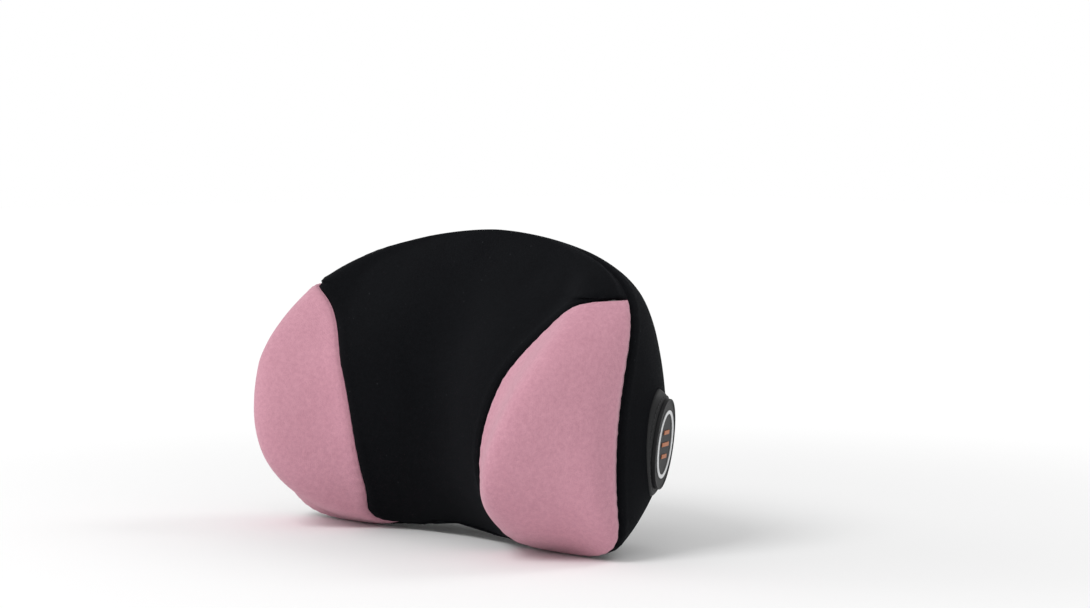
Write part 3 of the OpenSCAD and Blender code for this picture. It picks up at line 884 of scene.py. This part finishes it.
# %% Small helpers for nodes
def new_group(name, inputs, outputs):
    group = bpy.data.node_groups.new(name, "ShaderNodeTree")
    for label, kind, value in inputs:
        group.interface.new_socket(label, in_out="INPUT", socket_type=kind).default_value = value
    for label, kind in outputs:
        group.interface.new_socket(label, in_out="OUTPUT", socket_type=kind)
    return group, group.nodes.new("NodeGroupInput"), group.nodes.new("NodeGroupOutput")


def add(tree, kind, settings=(), **inputs):
    node = tree.nodes.new(kind)
    for key, value in dict(settings).items():
        setattr(node, key, value)
    for key, value in inputs.items():
        put(tree, node, key.replace("_", " "), value)
    return node


def put(tree, node, key, value):
    """Wires an input if the value is a socket, and sets it otherwise."""
    socket = node.inputs[int(key)] if key.isdigit() else node.inputs[key]
    if isinstance(value, bpy.types.NodeSocket):
        tree.links.new(value, socket)
    else:
        socket.default_value = value


def sums(tree, operation, first, second=0.5, third=0.0):
    node = tree.nodes.new("ShaderNodeMath")
    node.operation = operation
    for n, value in enumerate((first, second, third)):
        put(tree, node, str(n), value)
    return node.outputs[0]


def blend_colours(tree, share, first, second):
    node = tree.nodes.new("ShaderNodeMix")
    node.data_type = "RGBA"
    for key, value in (("0", share), ("6", first), ("7", second)):
        put(tree, node, key, value)
    return node.outputs[2]


def step_up(tree, value, low, high, to_low=0.0, to_high=1.0):
    node = add(tree, "ShaderNodeMapRange", {"interpolation_type": "SMOOTHSTEP"}, Value=value,
               From_Min=low, From_Max=high, To_Min=to_low, To_Max=to_high)
    return node.outputs[0]


# %% The nap of a brushed knit
FLOAT, COLOUR, VECTOR = "NodeSocketFloat", "NodeSocketColor", "NodeSocketVector"
nap, ins, outs = new_group(
    "Brushed knit",
    [("Place", VECTOR, (0, 0, 0)), ("Cloth", COLOUR, (0.5, 0.5, 0.5, 1)),
     ("Deep", COLOUR, (0.3, 0.3, 0.3, 1)), ("Fleck", COLOUR, (0.8, 0.8, 0.8, 1)),
     ("Flecks", FLOAT, 0.0), ("Matt", FLOAT, 0.85)],
    [("Colour", COLOUR), ("Roughness", FLOAT), ("Height", FLOAT)])
place = ins.outputs["Place"]
loops = add(nap, "ShaderNodeTexVoronoi", Vector=place, Scale=1150.0, Randomness=0.55)
fibre = add(nap, "ShaderNodeTexNoise", Vector=place, Scale=1500.0, Detail=2.0, Roughness=0.6)
mottle = add(nap, "ShaderNodeTexNoise", Vector=place, Scale=420.0, Detail=3.0, Roughness=0.65)
stroke = add(nap, "ShaderNodeTexNoise", Vector=place, Scale=26.0, Detail=3.0, Roughness=0.55)
specks = add(nap, "ShaderNodeTexVoronoi", Vector=place, Scale=210.0, Randomness=1.0)
rare = add(nap, "ShaderNodeTexNoise", Vector=place, Scale=55.0, Detail=1.0)
tone = sums(nap, "ADD", sums(nap, "MULTIPLY", mottle.outputs["Fac"], 0.62),
            sums(nap, "MULTIPLY", stroke.outputs["Fac"], 0.22))
tone = sums(nap, "ADD", tone, sums(nap, "MULTIPLY", fibre.outputs["Fac"], 0.35))
cloth = blend_colours(nap, step_up(nap, tone, 0.30, 0.90), ins.outputs["Deep"],
                      ins.outputs["Cloth"])
fleck = sums(nap, "MULTIPLY", step_up(nap, specks.outputs["Distance"], 0.11, 0.05),
             step_up(nap, rare.outputs["Fac"], 0.52, 0.62))
fleck = sums(nap, "MULTIPLY", fleck, ins.outputs["Flecks"])
put(nap, outs, "Colour", blend_colours(nap, fleck, cloth, ins.outputs["Fleck"]))
put(nap, outs, "Roughness", sums(nap, "ADD", ins.outputs["Matt"],
                                 sums(nap, "MULTIPLY", mottle.outputs["Fac"], 0.12)))
put(nap, outs, "Height", sums(nap, "ADD", sums(nap, "MULTIPLY", loops.outputs["Distance"], -0.6),
                              sums(nap, "MULTIPLY", fibre.outputs["Fac"], 0.9)))

# %% The weave of tape and elastic
weave, ins, outs = new_group(
    "Ribbed weave",
    [("Strip", VECTOR, (0, 0, 0)), ("Ribs", FLOAT, 650.0), ("Picks", FLOAT, 900.0)],
    [("Height", FLOAT), ("Thread", FLOAT)])
parts = add(weave, "ShaderNodeSeparateXYZ", Vector=ins.outputs["Strip"])
rib = sums(weave, "MULTIPLY", parts.outputs["Y"], ins.outputs["Ribs"])
ridge = sums(weave, "ABSOLUTE", sums(weave, "SINE", sums(weave, "MULTIPLY", rib, math.pi)))
other = sums(weave, "MULTIPLY", sums(weave, "FLOOR", rib), math.pi)
pick = sums(weave, "MULTIPLY", sums(weave, "MULTIPLY", parts.outputs["X"], ins.outputs["Picks"]),
            2 * math.pi)
over = sums(weave, "MULTIPLY_ADD", sums(weave, "SINE", sums(weave, "ADD", pick, other)), 0.5, 0.5)
put(weave, outs, "Height", sums(weave, "MULTIPLY", ridge,
                                sums(weave, "MULTIPLY_ADD", over, 0.5, 0.5)))
put(weave, outs, "Thread", over)

# %% The rub along moulded edges
rubbed, ins, outs = new_group(
    "Edge rub", [("Place", VECTOR, (0, 0, 0)), ("Edge", FLOAT, 0.0), ("Amount", FLOAT, 0.5)],
    [("Mask", FLOAT), ("Grain", FLOAT), ("Dust", FLOAT)])
worn = add(rubbed, "ShaderNodeTexNoise", Vector=ins.outputs["Place"], Scale=420.0, Detail=4.0,
           Roughness=0.7)
grain = add(rubbed, "ShaderNodeTexNoise", Vector=ins.outputs["Place"], Scale=3200.0, Detail=2.0)
drift = add(rubbed, "ShaderNodeTexNoise", Vector=ins.outputs["Place"], Scale=60.0, Detail=3.0)
edge = sums(rubbed, "MULTIPLY", ins.outputs["Edge"], step_up(rubbed, worn.outputs["Fac"], 0.4, 0.7))
put(rubbed, outs, "Mask", sums(rubbed, "MULTIPLY", edge, ins.outputs["Amount"]))
put(rubbed, outs, "Grain", grain.outputs["Fac"])
put(rubbed, outs, "Dust", step_up(rubbed, drift.outputs["Fac"], 0.35, 0.85))


# %% A material ready for its own nodes
def new_finish(name, **fixed):
    material = bpy.data.materials.new(name)
    material.use_nodes = True
    tree = material.node_tree
    shader = tree.nodes["Principled BSDF"]
    for key, value in fixed.items():
        shader.inputs[key.replace("_", " ")].default_value = value
    where = tree.nodes.new("ShaderNodeTexCoord").outputs["Object"]
    return material, tree, shader, where


def add_group(tree, group, **inputs):
    node = tree.nodes.new("ShaderNodeGroup")
    node.node_tree = group
    for key, value in inputs.items():
        put(tree, node, key, value)
    return node


def dent(tree, shader, height, depth, strength=1.0):
    bump = add(tree, "ShaderNodeBump", Height=height, Distance=depth, Strength=strength)
    put(tree, shader, "Normal", bump.outputs["Normal"])


# %% [markdown]
# ## Cloth
# The cover is a fine knit brushed to a short nap, like suede. Up close it is mottled, because the
# fibres lie every way, and its rim catches light, which is what the shader's sheen is for. Black
# cloth also picks up pale lint, so it has a few specks.


# %% The knits
def knit(name, cloth, deep, fleck, flecks, sheen, sheen_tint, depth, matt=0.85, gloss=0.2):
    material, tree, shader, where = new_finish(
        name, Sheen_Weight=sheen, Sheen_Roughness=0.45, Sheen_Tint=sheen_tint,
        Specular_IOR_Level=gloss)
    node = add_group(tree, nap, Place=where, Cloth=cloth, Deep=deep, Fleck=fleck, Flecks=flecks,
                     Matt=matt)
    put(tree, shader, "Base Color", node.outputs["Colour"])
    put(tree, shader, "Roughness", node.outputs["Roughness"])
    dent(tree, shader, node.outputs["Height"], depth)
    return material


pink = knit("dusty pink knit", (0.64, 0.325, 0.40, 1), (0.50, 0.235, 0.30, 1),
            (0.80, 0.55, 0.60, 1), 0.15, 0.25, (1.0, 0.85, 0.9, 1), 0.00022)
black = knit("black knit", (0.0050, 0.0054, 0.0066, 1), (0.0022, 0.0024, 0.0031, 1),
             (0.06, 0.063, 0.07, 1), 0.35, 0.012, (0.75, 0.82, 1.0, 1), 0.00022, gloss=0.05)
white_knit = knit("white liner knit", (0.74, 0.74, 0.72, 1), (0.56, 0.56, 0.55, 1),
                  (0.8, 0.8, 0.8, 1), 0.0, 0.2, (1, 1, 1, 1), 0.0002)

# %% The foam's open cells
cream, tree, shader, where = new_finish("cream memory foam", Specular_IOR_Level=0.2)
pores = add(tree, "ShaderNodeTexVoronoi", Vector=where, Scale=900.0)
clumps = add(tree, "ShaderNodeTexNoise", Vector=where, Scale=140.0, Detail=4.0)
put(tree, shader, "Base Color", blend_colours(tree, step_up(tree, clumps.outputs["Fac"], 0.35, 0.7),
                                              (0.70, 0.62, 0.40, 1), (0.86, 0.80, 0.60, 1)))
put(tree, shader, "Roughness", step_up(tree, clumps.outputs["Fac"], 0.3, 0.7, 0.85, 0.97))
dent(tree, shader, step_up(tree, pores.outputs["Distance"], 0.0, 0.5), 0.0005)


# %% Woven strips, which follow their own flat map
def woven_finish(name, light, deep, ribs, picks, depth):
    material, tree, shader, _ = new_finish(name, Sheen_Weight=0.08, Sheen_Roughness=0.4,
                                           Specular_IOR_Level=0.3)
    strip = add(tree, "ShaderNodeUVMap", {"uv_map": "flat_strip"})
    node = add_group(tree, weave, Strip=strip.outputs["UV"], Ribs=ribs, Picks=picks)
    # The colour follows the weave's height: the hollows between ribs and under crossing threads get
    # the deep colour, which is painted shade, and the ridges get the light colour.
    put(tree, shader, "Base Color", blend_colours(tree, node.outputs["Height"], deep, light))
    put(tree, shader, "Roughness", sums(tree, "MULTIPLY_ADD", node.outputs["Thread"], -0.15, 0.75))
    dent(tree, shader, node.outputs["Height"], depth)
    return material


# The second colour of each strip is the painted shade in the weave's hollows.
elastic = woven_finish("black woven elastic", (0.020, 0.020, 0.023, 1), (0.006, 0.006, 0.007, 1),
                       620.0, 800.0, 0.00035)
tape_cloth = woven_finish("black zip tape", (0.024, 0.024, 0.027, 1), (0.009, 0.009, 0.010, 1),
                          1000.0, 700.0, 0.0002)

# %% [markdown]
# ## Plastic, metal and rubber
# Moulded acetal has a fine satin grain, and goes a little paler where edges rub. The zip's metal
# is plated dark, so bare metal shows at the same edges. The badge is soft rubber with a coarser
# skin, and the ring and bars on it are rubber too, in two other colours.


# %% Hard finishes
def moulded(name, colour, worn, rough, amount, depth, metal=0.0, bright=None, **fixed):
    material, tree, shader, where = new_finish(name, **fixed)
    shader.inputs["Metallic"].default_value = metal
    mark = add(tree, "ShaderNodeAttribute", {"attribute_name": "rub"})
    node = add_group(tree, rubbed, Place=where, Edge=mark.outputs["Fac"], Amount=amount)
    mixed = blend_colours(tree, node.outputs["Dust"], colour, bright or worn)
    put(tree, shader, "Base Color", blend_colours(tree, node.outputs["Mask"], mixed, worn))
    put(tree, shader, "Roughness", sums(tree, "MULTIPLY_ADD", node.outputs["Grain"], 0.14, rough))
    dent(tree, shader, node.outputs["Grain"], depth, 0.6)
    return material


acetal = moulded("black acetal", (0.010, 0.010, 0.011, 1), (0.050, 0.050, 0.053, 1), 0.36, 0.8,
                 0.00005, bright=(0.014, 0.014, 0.015, 1))
plated = moulded("dark plated zinc", (0.085, 0.085, 0.09, 1), (0.52, 0.51, 0.49, 1), 0.24, 0.8,
                 0.00002, metal=1.0, bright=(0.12, 0.12, 0.125, 1))
rubber = moulded("black moulded rubber", (0.0085, 0.0088, 0.0098, 1), (0.030, 0.030, 0.033, 1),
                 0.46, 0.5, 0.00009, bright=(0.013, 0.013, 0.015, 1), Specular_IOR_Level=0.4)
pale = moulded("pale grey rubber", (0.72, 0.73, 0.74, 1), (0.60, 0.60, 0.60, 1), 0.42, 0.5,
               0.00004, bright=(0.66, 0.67, 0.68, 1))
rust = moulded("rust orange rubber", (0.46, 0.15, 0.055, 1), (0.36, 0.13, 0.06, 1), 0.42, 0.5,
               0.00004, bright=(0.40, 0.13, 0.05, 1))
thread = moulded("black sewing thread", (0.016, 0.016, 0.018, 1), (0.04, 0.04, 0.044, 1), 0.55,
                 0.5, 0.00012, bright=(0.026, 0.026, 0.029, 1), Sheen_Weight=0.1)


# %% Each piece gets its finish
def finish_with(material, *pieces):
    for piece in pieces:
        piece.data.materials.clear()
        piece.data.materials.append(material)
    print(material.name, "is on", len(pieces), "pieces")


finish_with(pink, cover["pink_wing_left"], cover["pink_wing_right"])
finish_with(black, *(p for name, p in cover.items() if name.startswith("black")))
finish_with(white_knit, bpy.data.objects["liner_front"], bpy.data.objects["liner_back"])
finish_with(cream, foam)
finish_with(tape_cloth, woven[0], woven[1])
finish_with(elastic, *woven[2:])
finish_with(acetal, *plastics)
finish_with(plated, *metals)
finish_with(rubber, flange, disc)
finish_with(pale, ring)
finish_with(rust, bars)
finish_with(thread, badge_thread, *threads)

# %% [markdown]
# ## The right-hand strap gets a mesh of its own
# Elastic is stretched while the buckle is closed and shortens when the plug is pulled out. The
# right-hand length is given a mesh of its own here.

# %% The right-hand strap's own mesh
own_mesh(right_strap)

# %% [markdown]
# ## The studio
# The pillow stands on a pale floor under broad soft lamps, one of them from the left and above, so
# that the right side falls gently into shade. The floor is only a stage and no part of the object.

# %% Floor and light
mesh = bmesh.new()
bmesh.ops.create_grid(mesh, x_segments=1, y_segments=1, size=6)
bmesh.ops.translate(mesh, vec=(0, 0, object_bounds()[0].z), verts=mesh.verts)
floor = to_object("pale_floor", mesh)
paper, tree, shader, where = new_finish("white paper", Specular_IOR_Level=0.1)
shader.inputs["Roughness"].default_value = 0.9
shader.inputs["Emission Color"].default_value = (1, 1, 1, 1)
from_pillow = add(tree, "ShaderNodeVectorMath", {"operation": "LENGTH"}, Vector=where).outputs[1]
glow = step_up(tree, from_pillow, 0.25, 0.75)
put(tree, shader, "Base Color", blend_colours(tree, glow, (0.93, 0.93, 0.93, 1), (0, 0, 0, 1)))
put(tree, shader, "Emission Strength", glow)
floor.data.materials.append(paper)
floor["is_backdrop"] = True

world = bpy.data.worlds.new("soft room")
bpy.context.scene.world = world
world.use_nodes = True
room = world.node_tree
room.nodes["Background"].inputs["Color"].default_value = (1, 1, 1, 1)
seen = add(room, "ShaderNodeLightPath").outputs["Is Camera Ray"]
put(room, room.nodes["Background"], "Strength", step_up(room, seen, 0, 1, 0.62, 1.0))


def soft_lamp(name, place, aim, size, watts):
    lamp = bpy.data.lights.new(name, "AREA")
    lamp.shape, lamp.size, lamp.energy = "DISK", size, watts
    holder = bpy.data.objects.new(name, lamp)
    bpy.context.scene.collection.objects.link(holder)
    holder.location = place
    holder.rotation_euler = (Vector(aim) - Vector(place)).to_track_quat("-Z", "Y").to_euler()


soft_lamp("key", (0.1, -1.5, 1.5), (0, -0.05, 0), 0.9, 17)
soft_lamp("fill", (-1.3, -0.7, 0.5), (0, -0.05, 0), 0.9, 4)
soft_lamp("rim", (0.5, 1.1, 1.3), (0, -0.05, 0), 0.7, 5)

# %% The camera
TURN, LIFT, AWAY, ZOOM = math.radians(47.0), math.radians(3.5), 1.774, 2.704
back = Vector((math.sin(TURN) * math.cos(LIFT), -math.cos(TURN) * math.cos(LIFT), math.sin(LIFT)))
right = Vector((math.cos(TURN), math.sin(TURN), 0))
upward = back.cross(right)
target = Vector((0, -0.046, 0.0101)) + right * 0.0406 + upward * 0.0344
camera = bpy.data.objects.new("camera", bpy.data.cameras.new("camera"))
bpy.context.scene.collection.objects.link(camera)
camera.location = target + back * AWAY
camera.rotation_mode = "QUATERNION"
camera.rotation_quaternion = (-back).to_track_quat("-Z", "Y")
camera.data.sensor_width, camera.data.lens = 36, ZOOM * 36
camera.data.clip_start, camera.data.clip_end = 0.05, 50
bpy.context.scene.camera = camera
bpy.context.scene.view_settings.view_transform = "Standard"

# %% [markdown]
# ## The last check
# The dressed pillow is meant to stay within the CAD's box, apart from a few millimetres of cloth.
# How far each corner of its box lies from the CAD's is printed.

# %% Compare the boxes and finish
low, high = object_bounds()
for side, cad, made in (("low", cad_low, low), ("high", cad_high, high)):
    print(side, "corner differs by", [round(1000 * (m - c), 1) for c, m in zip(cad, made)], "mm")
